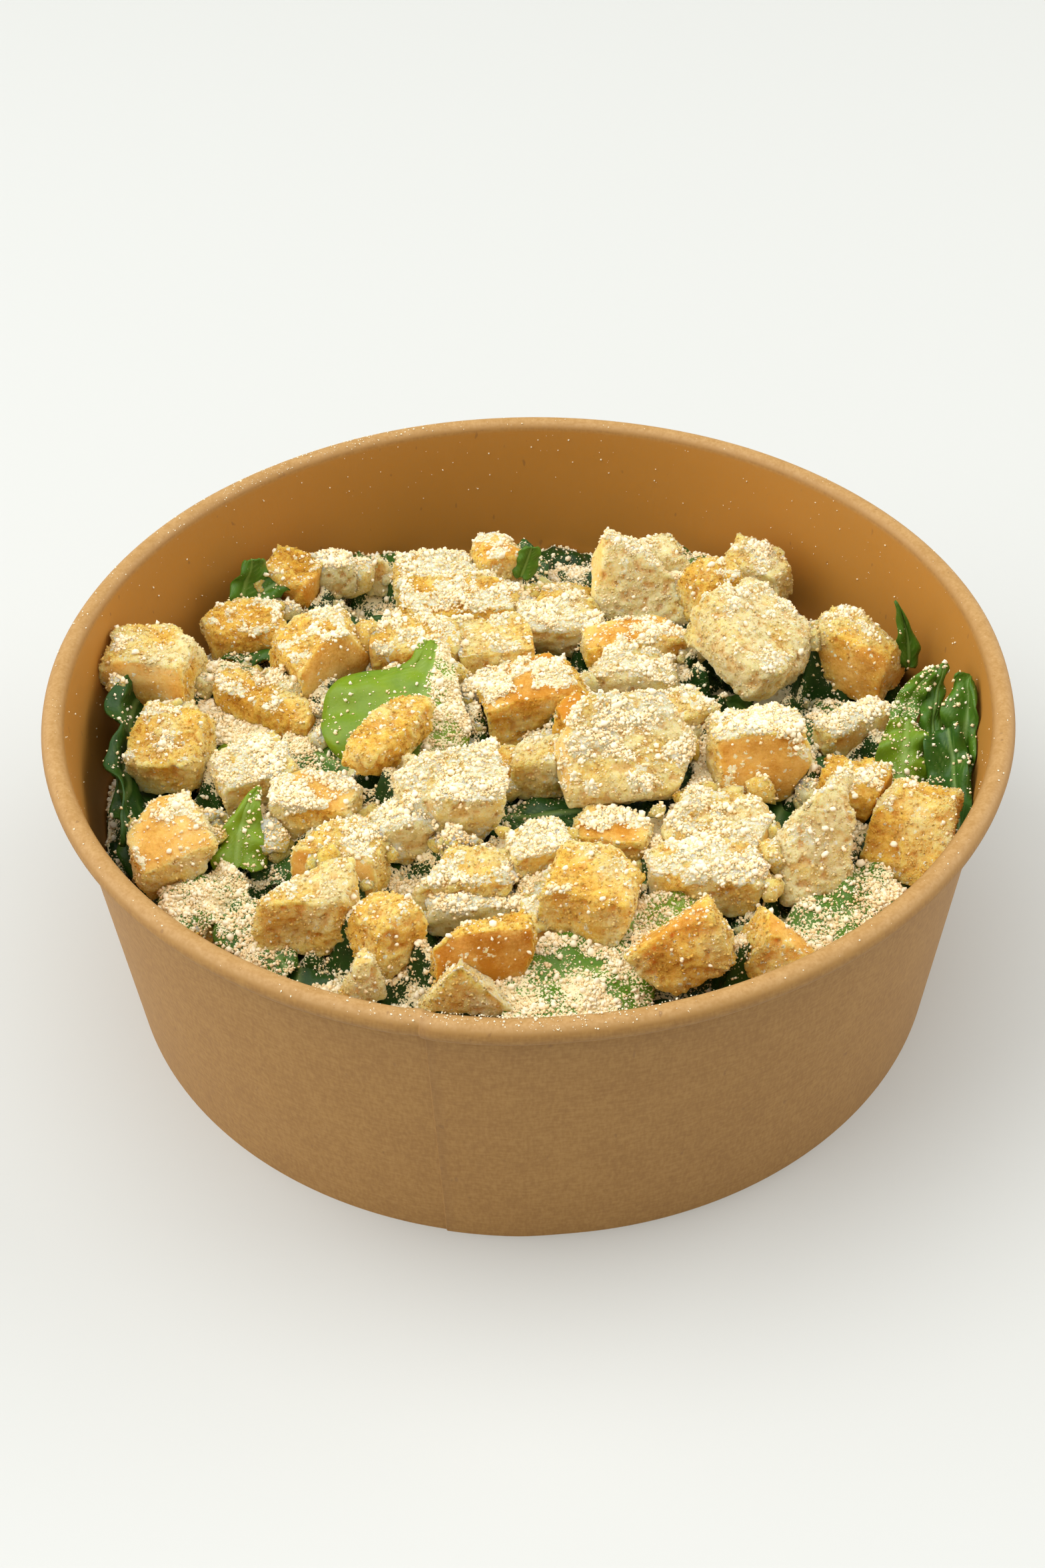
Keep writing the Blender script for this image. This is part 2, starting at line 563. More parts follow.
# Each crouton's toasting and cheese from 0 to 1, and the side its crust is on, or None.
LOOKS = [
    (0.67, 0.10, (0.8, -0.6, 0.2)), (-0.10, 0.75, None), (-0.05, 0.70, None), (0.30, 1.00, None),
    (0.40, 0.50, (0.2, -0.3, 0.9)), (0.52, 0.60, None), (0.00, 0.50, (-1, 0, 0.2)), (0.10, 0.45, None),
    (0.65, 0.00, None), (0.25, 0.25, None), (0.05, 0.40, None), (0.45, 0.35, (0.1, -0.95, 0.1)),
    (0.58, 0.40, (-0.2, 0.4, 0.9)), (0.47, 0.40, (0.4, -0.8, 0.4)), (0.65, 0.30, None),
    (0.38, 0.25, (0.3, -0.85, 0.1)), (0.70, 0.20, (0.7, -0.6, 0.4)), (0.45, 0.25, None),
    (0.30, 0.40, (0, -0.2, 1)), (0.59, 0.00, None), (0.45, 0.65, (-1, -0.3, 0.1)),
    (0.40, 0.40, (1, -0.3, 0.1)), (0.70, 0.55, (0, -0.45, 0.85)), (0.25, 0.35, None),
    (0.95, -0.05, (-0.4, 0, 0.9)), (0.25, 0.90, (-1, -0.2, 0)), (0.45, 0.80, (0, -1, 0)),
    (0.15, 0.90, None), (0.40, 0.80, (1, -0.4, 0.1)), (0.33, 0.55, None), (0.70, 0.35, (0.9, -0.4, 0)),
    (0.10, 0.35, None), (0.50, 0.15, None), (0.30, 0.85, None), (0.35, 0.75, (0.2, 0, 0.95)),
    (0.15, 1.00, None), (0.00, 1.10, None), (0.45, 0.55, (-0.1, -0.6, -0.1)), (0.37, 0.25, None),
    (0.55, 0.25, None), (0.70, 0.05, (0, -1, 0.1)), (0.30, 0.55, None), (0.10, 1.10, None),
    (0.45, 0.20, None), (0.30, 0.85, None), (0.58, 0.35, (0, 0, 1)), (0.50, 0.25, None),
    (0.35, 0.70, (1, -0.2, 0.2)), (0.30, 0.80, None), (0.55, 0.15, (-0.7, -0.1, 0.8)),
    (0.55, 0.05, (0.7, 0, 0.8)), (0.18, 0.20, (-0.2, -0.3, 0.9)), (0.18, 0.45, None), (0.65, -0.05, None),
    (0.50, 0.35, None), (0.20, 0.85, None), (0.57, 0.25, None),
]


# Each crouton: its size before it is cut, how far it lies from its solid's place in mm, and its cuts.
TORN = {
    1: (1.06, (3, 1, 0), [(0.7, 0.7, 0.85), (-0.7, -0.7, 0.85)]), 2: (0.95, (0, -2, -1), [(-0.7, 0.7, 0.75)]),
    3: (0.95, (-2, 0, -1), [(0.8, 0.6, 0.5), (-0.8, 0.6, 0.6)]), 4: (1.06, (-2, 0, -3), [(0, 1, 0.85)]),
    5: (1.06, (-2, -1, -1), [(0.7, 0.7, 0.85)]), 6: (1.2, (2, 1, -2), []),
    7: (1.18, (4, 0, 3), [(0.75, 0.65, 0.42)]), 8: (1.06, (-2, -3, -1), [(-0.6, 0.8, 0.8), (0.9, 0.5, 0.6)]),
    9: (0.95, (0, -2, -3), [(-0.8, 0.6, 0.75), (0, 1, 0.85)]), 10: (1.06, (-2, -1, -2), [(0.9, 0.4, 0.7)]),
    11: (1.26, (1, 1, 1), [(1, 0, 0.92), (0, 1, 0.92)]),
    12: (1.06, (0, 0, -1), [(0.75, 0.65, 0.55), (-0.9, 0.2, 0.85)]), 13: (1.06, (0, -1, 0), [(0.6, 0.8, 0.8)]),
    14: (1.14, (1, -2, -1), [(0.8, 0.6, 0.75), (-0.8, 0.6, 0.75)]),
    15: (1.06, (1, 0, -3), [(-0.7, 0.7, 0.6), (0, 1, 0.85)]),
    16: (1.06, (0, 0, -2), [(0.7, 0.7, 0.75), (-0.7, -0.7, 0.8)]), 17: (1.06, (0, 0, -1), []),
    18: (1, (0, 0, 0), [(-0.9, 0.4, 0.9)]), 19: (1.06, (-1, -1, -1), [(0.8, -0.6, 0.7), (-0.8, 0.6, 0.75)]),
    20: (1.06, (-2, 0, 0), [(-0.7, 0.7, 0.72), (0.7, -0.7, 0.75)]), 21: (1.06, (2, 1, 0), []),
    22: (1.06, (-1, 0, -1), []), 23: (1.06, (0, -2, -2), [(0.8, 0.6, 0.85)]), 24: (1.1, (1, 0, 2), []),
    25: (1.06, (1, -2, 0), [(0.8, 0.6, 0.7)]),
    26: (1.12, (1, 2, 3), [(0.8, 0.6, 0.75), (-0.8, 0.6, 0.75), (0.8, -0.6, 0.8)]),
    27: (1.06, (-1, 0, -1), []), 28: (1.06, (0, 1, -3), [(-0.7, 0.7, 0.7)]),
    29: (1.06, (0, 0, -3), [(0.7, 0.7, 0.7)]), 30: (1.06, (0, 0, 0), [(0.7, 0.7, 0.8)]),
    31: (1, (-1, -1, -1), [(0.8, -0.6, 0.75)]), 32: (1.06, (0, -1, 1), [(-0.7, 0.7, 0.62), (0.8, -0.6, 0.8)]),
    33: (1.06, (-1, 0, 0), [(-0.7, 0.7, 0.72), (0.7, -0.7, 0.7), (-0.6, -0.8, 0.8)]),
    34: (1.06, (-1, -2, -1), [(-0.7, 0.7, 0.8)]), 35: (1.06, (0, 2, 0), [(0.7, 0.7, 0.8)]),
    36: (1.06, (-4, -2, -1), [(-0.7, 0.7, 0.8), (0.8, -0.6, 0.8)]), 37: (1.06, (2, 2, 0), [(-0.7, 0.7, 0.8)]),
    38: (1.16, (4, 2, 0), [(-0.7, 0.7, 0.7)]),
    39: (1.06, (-1, -1, 0), [(-0.45, 0.9, 0.62), (0.9, -0.3, 0.85)]),
    40: (1.06, (-3, -1, 0), [(0.9, -0.5, 0.75), (-0.9, 0.5, 0.8)]),
    41: (1.06, (-1, -2, -1), [(-0.6, 0.8, 0.62), (0.9, 0.5, 0.85)]),
    42: (1.06, (1, -1, -3), [(-0.8, 0.6, 0.7), (0.8, -0.6, 0.7)]), 43: (1.14, (0, 0, 0), []),
    44: (1.06, (0, 0, 0), [(-0.9, 0.5, 0.75), (0.9, -0.5, 0.75), (0.8, 0.6, 0.8)]),
    45: (1.14, (-2, -1, -1), []), 46: (1.06, (-1, 2, -1), []), 47: (1.06, (5, 1, 0), []),
    48: (1.06, (1, 3, -3), [(-0.8, 0.6, 0.8)]), 49: (1.06, (0, 2, 0), [(0.8, 0.6, 0.8)]),
    50: (1.06, (0, 0, 2), [(-0.62, 0.78, 0.45), (-0.5, -0.85, 0.8)]),
    51: (1.06, (-1, -1, 0), [(0.72, 0.69, 0.45)]),
    52: (1.06, (-1, 0, 0), [(-0.75, 0.65, 0.45), (0.95, 0.3, 0.8)]),
    53: (1.06, (0, 1, 3), [(-0.7, 0.7, 0.5), (0.7, 0.7, 0.45)]), 54: (1.1, (4, -1, -1), []),
    55: (1.06, (-1, -1, -4), []), 56: (1.06, (0, -2, -2), [(0.8, 0.6, 0.7)]),
    57: (1.06, (2, 0, -2), [(-0.8, 0.6, 0.7)]),
}


def smoothed(piece, points, rounds):
    """The points after each has moved towards the middle of its neighbours a number of times."""
    edges = np.empty(len(piece.data.edges) * 2, dtype=np.int64)
    piece.data.edges.foreach_get("vertices", edges)
    first, second = edges.reshape(-1, 2).T
    count = np.bincount(first, minlength=len(points)) + np.bincount(second, minlength=len(points))
    for _ in range(rounds):
        total = np.zeros_like(points)
        for axis in range(3):
            total[:, axis] = np.bincount(first, points[second, axis], len(points))
            total[:, axis] += np.bincount(second, points[first, axis], len(points))
        points = 0.4 * points + 0.6 * total / count[:, None]
    return points


def ridges(points, size, shift):
    """Random values from -1 to 1 with sharp ridges between round hollows, as in torn crumb."""
    return 1 - 2 * np.minimum(1, 1.6 * np.abs(mottle(points, size, shift)))


def cut_bread(node, name):
    """A finely meshed copy of a CAD crouton."""
    bare()
    bread = bpy.data.objects.new(name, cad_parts[node].data.copy())
    bpy.context.scene.collection.objects.link(bread)
    bread.data.materials.clear()
    bread.select_set(True)
    bpy.context.view_layer.objects.active = bread
    bpy.ops.object.mode_set(mode="EDIT")
    bpy.ops.mesh.select_all(action="SELECT")
    bpy.ops.mesh.remove_doubles(threshold=0.00001)
    bpy.ops.object.mode_set(mode="OBJECT")
    remesh = bread.modifiers.new("fine", "REMESH")
    remesh.mode = "VOXEL"
    remesh.voxel_size = VOXEL
    remesh.use_smooth_shade = True
    bpy.ops.object.modifier_apply(modifier="fine")
    return bread


def block_axes(normals):
    """The three square directions that most of a block's surface faces."""
    sample = normals[::max(1, len(normals) // 900)]
    alike = np.abs(sample @ sample.T)
    score = np.maximum(alike - 0.92, 0).sum(axis=1)
    first = sample[score.argmax()]
    aside = np.where(np.abs(sample @ first) < 0.25, score, -1)
    second = sample[aside.argmax()]
    second = second - first * (first @ second)
    second /= np.linalg.norm(second)
    return first, second, np.cross(first, second)


def cut_faces(points, normals, number, size=1.06, cuts=()):
    """Size the block, then slice it flat along its sides and where the knife or a tear took more.

    A cut is its direction across and up, as seen from the front and above, and the share that it leaves.
    """
    knife = np.random.default_rng(100 + number)
    middle = points.mean(axis=0)
    points = (points - middle) * size
    ways = [(sign * axis + knife.normal(0, 0.06, 3), knife.uniform(0.85, 0.93))
            for axis in block_axes(normals) for sign in (-1, 1)]
    ways += [(knife.normal(0, 1, 3), knife.uniform(0.82, 0.93)) for _ in range(CORNER_CUTS)]
    ways += [(np.array([across, 0.66 * up, 0.75 * up]) + knife.normal(0, 0.06, 3), keep)
             for across, up, keep in cuts]
    for way, keep in ways:
        way = way / np.linalg.norm(way)
        reach = points @ way
        points = points - np.maximum(reach - reach.max() * keep, 0)[:, None] * way
    return points + middle


def roughen_bread(bread, number, toast, cheese, crust_side):
    """Turn a smooth block into torn crumb, smoother crust and a low soft layer of cheese."""
    shift = number * 3.7
    points = points_of(bread)
    warp = [mottle(points, 9 * MM, shift + turn) for turn in (0.0, 11.3, 23.9)]
    points = points + 0.8 * MM * np.column_stack(warp)
    size, nudge, cuts = TORN[number]
    points = smoothed(bread, cut_faces(points, normals_of(bread), number, size, cuts), 6) + np.array(nudge) * MM
    rounded = smoothed(bread, points, 30)
    move_points(bread, points)
    normals = normals_of(bread)
    corner = smooth_step(np.einsum("ij,ij->i", points - rounded, normals), 0.1 * MM, 1.3 * MM)
    if crust_side is None:
        crust = np.zeros(len(points))
    else:
        side = np.array(crust_side) / np.linalg.norm(crust_side)
        facing = normals @ side + 0.12 * mottle(points, 3 * MM, shift)
        crust = smooth_step(facing, 0.55, 0.85)
    crumb = 1 - crust
    layers = Matrix.Rotation(number * 1.9, 3, "Z") @ Matrix.Rotation(0.5 * math.sin(number * 2.3), 3, "X")
    grain = points @ np.array(layers)
    grain[:, 2] *= 2.6
    torn = mottle(points, 5.5 * MM, shift)
    depth = (0.50 - 0.35 * crust) * MM * torn + 0.12 * MM * crumb * mottle(grain, 2.4 * MM, shift + 9)
    depth += corner * 0.55 * MM * mottle(points, 1.7 * MM, shift + 7)
    depth += crumb * 0.08 * MM * ridges(grain, 1.5 * MM, shift + 1)
    depth += crumb * 0.20 * MM * mottle(points, 0.95 * MM, shift + 2)
    holes = smooth_step(mottle(points, 1.5 * MM, shift + 5), 0.35, 0.85)
    depth -= crumb * 0.40 * MM * holes
    up = np.clip(normals[:, 2], 0, 1)
    lie = 1.35 * up + 0.65 * mottle(points, 4.2 * MM, shift + 3) + 0.40 * mottle(points, 1.5 * MM, shift + 4)
    lie = smooth_step(lie + 1.3 * cheese - 1.75, 0.0, 0.7)
    depth += lie * MM * (0.15 + 0.25 * cheese + 0.20 * mottle(points, 1.0 * MM, shift + 6))
    move_points(bread, points + normals * (depth + 0.15 * MM)[:, None])
    record_values(bread, "crust", crust)
    record_values(bread, "cheese", lie)
    golden = toast - 0.12 * corner + 0.22 * mottle(points, 4.5 * MM, shift + 8) - 0.10 * torn
    record_values(bread, "toast", golden)
    record_values(bread, "pit", holes * crumb * (1 - lie))


bread_finish = Finish("toasted_bread", (0.85, 0.62, 0.27), 0.9, Subsurface_Weight=0.8, Subsurface_Scale=0.004)
bread_finish.shader.inputs["Subsurface Radius"].default_value = (1.0, 0.8, 0.45)
bread_finish.shader.inputs["Specular IOR Level"].default_value = 0.2
speckle = bread_finish.noise(0.55 * MM, 4, roughness=0.7)
blotch = bread_finish.noise(3.5 * MM, 2)
pores = bread_finish.node("ShaderNodeTexVoronoi", None, {
    "Vector": bread_finish.place(), "Scale": 1 / (1.0 * MM), "Randomness": 1.0}, out="Distance")
pitted = 1 - bread_finish.between(pores + (speckle - 0.5) * 1.0, 0.10, 0.36)
toasted = bread_finish.painted("toast") - 0.05 + (speckle - 0.5) * 1.1 + (blotch - 0.5) * 0.5
crumb_colour = bread_finish.ramp(toasted, [
    (0.0, (0.98, 0.79, 0.39)), (0.30, (0.96, 0.70, 0.23)), (0.60, (0.90, 0.53, 0.09)),
    (1.0, (0.60, 0.27, 0.02))])
open_crumb = bread_finish.painted("pit") * 0.4 + pitted * 0.4
pitted_colour = bread_finish.mix(open_crumb, crumb_colour, (0.74, 0.39, 0.06))
crust_tone = bread_finish.painted("toast") * 0.8 + blotch * 0.7 + (speckle - 0.5) * 0.7
crust_colour = bread_finish.ramp(crust_tone, [
    (0.25, (0.94, 0.69, 0.27)), (0.60, (0.87, 0.52, 0.125)), (1.0, (0.60, 0.25, 0.02))])
crusty = bread_finish.between(bread_finish.painted("crust") + (speckle - 0.5) * 0.6, 0.15, 0.95)
bread_colour = bread_finish.mix(crusty, pitted_colour, crust_colour)
cheese_grit = bread_finish.noise(0.42 * MM, 2)
lump_size = {"Vector": bread_finish.place(), "Scale": 1 / (0.8 * MM)}
lump_chance = bread_finish.node("ShaderNodeTexVoronoi", None, lump_size, out="Color")
lump_edge = bread_finish.node("ShaderNodeTexVoronoi", None, lump_size, out="Distance")
cheese_cover = bread_finish.painted("cheese") * 1.3 + (lump_chance - 0.5) * 1.5 + (cheese_grit - 0.5) * 0.8
cheesy = bread_finish.between(cheese_cover - lump_edge * 0.35, 0.34, 0.50)
cheese_colour = bread_finish.ramp(cheese_grit, [
    (0.30, (0.96, 0.75, 0.37)), (0.46, (0.99, 0.86, 0.54)), (0.60, (1.00, 0.92, 0.67))])
bread_finish.paint(bread_finish.mix(cheesy, bread_colour, cheese_colour))
bread_finish.put(bread_finish.shader.inputs["Roughness"], 0.95 - crusty * 0.25 * (1 - cheesy))
relief = (speckle - pitted * 0.5) * (1 - crusty * 0.5) + (1 - lump_edge) * cheesy * 0.5
bread_finish.bump(relief, 0.6 * MM, 0.9)

croutons = []
for number, look in enumerate(LOOKS, 1):
    node = f"crouton_{number:02d}"
    bread = cut_bread(node, f"bread_{number:02d}")
    roughen_bread(bread, number, *look)
    bread.data.materials.append(bread_finish.material)
    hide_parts(node)
    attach(bread, "root")
    croutons.append(bread)


# ---- Core of the heap ----
# The leaves lower down, as one dark crumpled body that fills the bowl. Grated parmesan has drifted into
# the gaps between the croutons and lies on it in soft banks.
CORE_GRID = 230
CORE_LEVEL = 39.0 * MM
CORE_FALL = 5.0 * MM
MAP_STEP = 1.0 * MM
MAP_HALF = 92
BANK_REACH = 3
BANK_DEPTH = 4.0 * MM

# Where the parmesan lies deeper or is missing: x, y, radius in mm, and how far it rises or falls.
BANKS = [(-58, -36, 9, -1.5), (-50, -32, 6, 1.0), (-36, -62, 8, 7.0), (-46, 5, 6, -3.0), (-50, 20, 10, 2.0), (42, 10, 12, 3.0), (58, 2, 9, 2.5), (28, 10, 9, 2.0),
         (8, 44, 10, 1.5), (-10, 42, 10, 2.0), (10, -62, 9, -5.0), (50, 26, 6, 2.0), (-5, -46, 10, 2.0),
         (2, -16, 6, -4.0), (33, -8, 5, -5.0), (64, -27, 7, -7.0), (-80, 0, 10, -6.0),
         (70, -38, 8, -7.0), (-4, 2, 5, -6.0), (-50, -52, 6, 1.0), (-60, -2, 5, -2.0), (84, -10, 10, -5.0)]


def joined_surface(pieces):
    """Every triangle of some pieces, as points and corner numbers."""
    points, corners, owners = [], [], []
    count = 0
    for number, piece in enumerate(pieces):
        piece.data.calc_loop_triangles()
        triangles = np.empty(len(piece.data.loop_triangles) * 3, dtype=np.int64)
        piece.data.loop_triangles.foreach_get("vertices", triangles)
        points.append(points_of(piece))
        corners.append(triangles.reshape(-1, 3) + count)
        owners.append(np.full(len(corners[-1]), number))
        count += len(points[-1])
    return np.concatenate(points), np.concatenate(corners), np.concatenate(owners)


def shifted_extreme(values, reach, choose):
    """The highest or lowest of the neighbours within reach, for each cell of a map."""
    result = values.copy()
    for row in range(-reach, reach + 1):
        for column in range(-reach, reach + 1):
            if row * row + column * column <= reach * reach + 1:
                result = choose(result, np.roll(values, (row, column), (0, 1)))
    return result


heap_points, heap_corners, heap_owners = joined_surface(croutons + leaves)
heap_tree = BVHTree.FromPolygons(heap_points.tolist(), heap_corners.tolist())
steps = np.arange(-MAP_HALF, MAP_HALF + 1)
tops = np.full((len(steps), len(steps)), CORE_LEVEL)
for row, x in enumerate(steps):
    for column, y in enumerate(steps):
        hit = heap_tree.ray_cast(Vector((x * MAP_STEP, y * MAP_STEP, 0.2)), Vector((0, 0, -1)))[0]
        if hit is not None:
            tops[row, column] = max(CORE_LEVEL, hit.z)
closed = shifted_extreme(shifted_extreme(tops, BANK_REACH, np.maximum), BANK_REACH, np.minimum)
narrow = (closed - tops > 2.0 * MM).astype(float)
gaps = shifted_extreme(narrow, 1, np.maximum)
banks = np.where(gaps > 0, closed - BANK_DEPTH, CORE_LEVEL - 3 * MM)
for _ in range(2):
    banks = (2 * banks + np.roll(banks, 1, 0) + np.roll(banks, -1, 0) + np.roll(banks, 1, 1) + np.roll(
        banks, -1, 1)) / 6


def drift(points):
    """How much higher or lower than elsewhere the parmesan lies."""
    rise = np.zeros(len(points))
    for x, y, radius, height in BANKS:
        away = ((points[:, 0] / MM - x) ** 2 + (points[:, 1] / MM - y) ** 2) / radius ** 2
        rise += height * MM * np.exp(-away)
    return rise


def bank_height(points):
    """Height of the parmesan that has drifted between the croutons."""
    place = points[:, :2] / MAP_STEP + MAP_HALF
    cell = np.clip(np.floor(place).astype(int), 0, 2 * MAP_HALF - 1)
    part = place - cell
    height = np.zeros(len(points))
    for row, column in ((0, 0), (0, 1), (1, 0), (1, 1)):
        weight = np.where(row, part[:, 0], 1 - part[:, 0]) * np.where(column, part[:, 1], 1 - part[:, 1])
        height += weight * banks[cell[:, 0] + row, cell[:, 1] + column]
    height -= 1.8 * MM * mottle(points, 7 * MM, 0.3) + 0.8 * MM * mottle(points, 2.2 * MM, 1.3)
    height -= 7 * MM * smooth_step(np.hypot(points[:, 0], points[:, 1]), 73 * MM, 80 * MM)
    return height + drift(points)


def disc_place(x, y):
    """Lay the unit square's points onto the unit disc, with cells that stay nearly square."""
    wide = np.abs(x) > np.abs(y)
    longer, shorter = np.where(wide, x, y), np.where(wide, y, x)
    turn = math.pi / 4 * shorter / np.where(longer == 0, 1, longer)
    return (np.where(wide, longer * np.cos(turn), longer * np.sin(turn)),
            np.where(wide, longer * np.sin(turn), longer * np.cos(turn)))


bare()
bpy.ops.mesh.primitive_grid_add(x_subdivisions=CORE_GRID, y_subdivisions=CORE_GRID, size=2)
core = bpy.context.object
core.name = "heap_core"
bpy.ops.object.mode_set(mode="EDIT")
bpy.ops.mesh.select_mode(type="EDGE")
bpy.ops.mesh.select_all(action="SELECT")
bpy.ops.mesh.region_to_loop()
bpy.ops.mesh.extrude_edges_move(TRANSFORM_OT_translate={"value": (0, 0, -1)})
bpy.ops.mesh.edge_face_add()
bpy.ops.mesh.select_all(action="SELECT")
bpy.ops.mesh.normals_make_consistent(inside=False)
bpy.ops.object.mode_set(mode="OBJECT")
points = points_of(core)
upper = points[:, 2] > -0.5
points[:, 0], points[:, 1] = disc_place(points[:, 0], points[:, 1])
bottom = FLOOR_RECESS + BOARD + 0.3 * MM
radius = np.where(upper, inner_radius(CORE_LEVEL), inner_radius(bottom)) - 0.6 * MM
reach = np.hypot(points[:, 0], points[:, 1])
points[:, :2] *= radius[:, None]
flat = np.column_stack([points[:, :2], np.zeros(len(points))])
leafy = CORE_LEVEL - CORE_FALL * reach ** 6 + 1.4 * MM * mottle(flat, 9 * MM, 2.0) - 1.2 * MM * np.abs(
    mottle(flat, 4 * MM, 5.0))
banked = bank_height(flat)
banked = np.where(reach > 0.985, leafy, banked)
points[:, 2] = np.where(upper, np.maximum(leafy, banked), bottom)
grains = np.where(banked > leafy, 0.35 * MM * mottle(points, 0.95 * MM, 6.0) + 0.4 * MM * mottle(
    points, 2.0 * MM, 8.0), 0)
points[:, 2] += np.where(upper, grains, 0)
move_points(core, points)
keep_in_bowl(core, 0.4 * MM)
dust = 0.5 + 0.5 * mottle(flat, 6 * MM, 4.0)
level = smooth_step(normals_of(core)[:, 2], 0.35, 0.8)
lying = np.where(banked > leafy - 0.3 * MM, 0.15 + 0.85 * level, np.clip(dust * 0.9 - 0.25, 0, 1))
record_values(core, "powder", lying)
record_values(core, "bright", 0.05 + 0.12 * dust)
record_values(core, "vein", np.zeros(len(points)))
bpy.ops.object.shade_smooth()
core.data.materials.append(romaine.material)
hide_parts("lettuce")
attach(core, "root")


# ---- Crumbs of bread ----
# Broken bits of the croutons, 2 to 7 mm across, that have dropped into the gaps between them.
# Each is a small ball pulled out of shape, and they are joined into two meshes.
BIT_COUNT = 260
BIT_LOW, BIT_HIGH = 2.0 * MM, 7.0 * MM

bits = np.random.default_rng(11)
rows, columns = np.nonzero((narrow > 0) & (np.hypot(*np.meshgrid(steps, steps, indexing="ij")) < 84))
cells = np.column_stack([steps[rows], steps[columns]]) * MAP_STEP
filled = (drift(cells) > -1.5 * MM) & (cells[:, 0] < 68 * MM) & (cells[:, 1] > -52 * MM)
rows, columns = rows[filled], columns[filled]
bare()
bpy.ops.mesh.primitive_ico_sphere_add(subdivisions=2, radius=1)
ball = bpy.context.object
ball_points = points_of(ball)
ball_corners = np.array([tuple(face.vertices) for face in ball.data.polygons])
bpy.data.objects.remove(ball)
bit_points, bit_corners, bit_cheese, bit_toast = [], [], [], []
for number, pick in enumerate(bits.choice(len(rows), BIT_COUNT)):
    row, column = rows[pick], columns[pick]
    size = BIT_LOW + (BIT_HIGH - BIT_LOW) * bits.random() ** 2.0
    reach = size / 2 * bits.uniform(0.7, 1.2, 3)
    spin = np.linalg.qr(bits.normal(size=(3, 3)))[0]
    spin *= np.sign(np.linalg.det(spin))
    square = np.abs(ball_points).max(axis=1)[:, None]
    blunt = ball_points / (0.75 * square + 0.25)
    shape = blunt * reach * (1 + 0.30 * mottle(blunt, 0.9, number * 1.3))[:, None]
    shape = cut_faces(shape, ball_points, 100 + number)
    shape *= (1 + 0.08 * ridges(blunt * size, 1.3 * MM, number * 0.7))[:, None]
    height = closed[row, column] - bits.uniform(1.8, 5.0) * MM
    centre = np.array([steps[row] * MAP_STEP, steps[column] * MAP_STEP, height])
    bit_points.append(shape @ spin.T + centre)
    bit_corners.append(ball_corners + number * len(ball_points))
    outward = (ball_points @ spin.T)[:, 2]
    bit_cheese.append(smooth_step(outward * 0.9 + bits.uniform(-1.1, 0.1) + 0.4 * mottle(
        bit_points[-1], 1.6 * MM, 4.4), 0.0, 0.9))
    bit_toast.append(np.full(len(ball_points), bits.uniform(0.05, 0.6)))
mesh = bpy.data.meshes.new("bread_bits")
mesh.from_pydata(np.concatenate(bit_points).tolist(), [], np.concatenate(bit_corners).tolist())
rubble = bpy.data.objects.new("bread_bits", mesh)
bpy.context.scene.collection.objects.link(rubble)
mesh.shade_smooth()
keep_in_bowl(rubble, 0.3 * MM)
record_values(rubble, "cheese", np.concatenate(bit_cheese))
record_values(rubble, "toast", np.concatenate(bit_toast))
record_values(rubble, "crust", np.zeros(len(mesh.vertices)))
record_values(rubble, "pit", np.zeros(len(mesh.vertices)))
mesh.materials.append(bread_finish.material)
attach(rubble, "root")


# ---- Torn crumb ----
# The rough nap that stands up from the croutons' torn faces: small lumps of the same bread, half sunk in
# it. They are joined into two meshes and take their colours from the places that they stand on.
NAP_COUNT = 26000

fallen = np.random.default_rng(5)
dusted = croutons + [rubble] + leaves + [core]
points, corners, owners = joined_surface(dusted)
a, b, c = (points[corners[:, i]] for i in range(3))
cross = np.cross(b - a, c - a)
area = np.linalg.norm(cross, axis=1) / 2
facing = cross[:, 2] / np.maximum(2 * area, 1e-15)
centre = (a + b + c) / 3
sky_tree = BVHTree.FromPolygons(points.tolist(), corners.tolist())


def over_triangles(layer):
    """A painted layer's value on each triangle of the heap, 0 on pieces without it."""
    values = []
    for piece in dusted:
        values.append(np.zeros(len(piece.data.vertices), dtype=np.float32))
        if layer in piece.data.attributes:
            piece.data.attributes[layer].data.foreach_get("value", values[-1])
    return np.concatenate(values)[corners].mean(axis=1)


def open_places(count, likely, tilt):
    """Triangles, places and ways out that are open to the sky, or to the side where tilt is above 0."""
    triangles, places, outward = [], [], []
    while len(places) < count:
        picks = fallen.choice(len(area), count, p=likely / likely.sum())
        u, v = np.sqrt(fallen.random(count)), fallen.random(count)
        spots = a[picks] * (1 - u)[:, None] + b[picks] * (u * (1 - v))[:, None] + c[picks] * (u * v)[:, None]
        ways = cross[picks] / (2 * area[picks])[:, None]
        for pick, spot, way in zip(picks, spots, ways):
            lean = Vector((fallen.normal(0, 0.25), fallen.normal(0, 0.25), 1)) + tilt * Vector(way)
            start = Vector(spot) + Vector(way) * 0.2 * MM
            if sky_tree.ray_cast(start, lean)[0] is None:
                triangles.append(pick)
                places.append(spot)
                outward.append(way)
            if len(places) == count:
                break
    return np.array(triangles), np.array(places), np.array(outward)


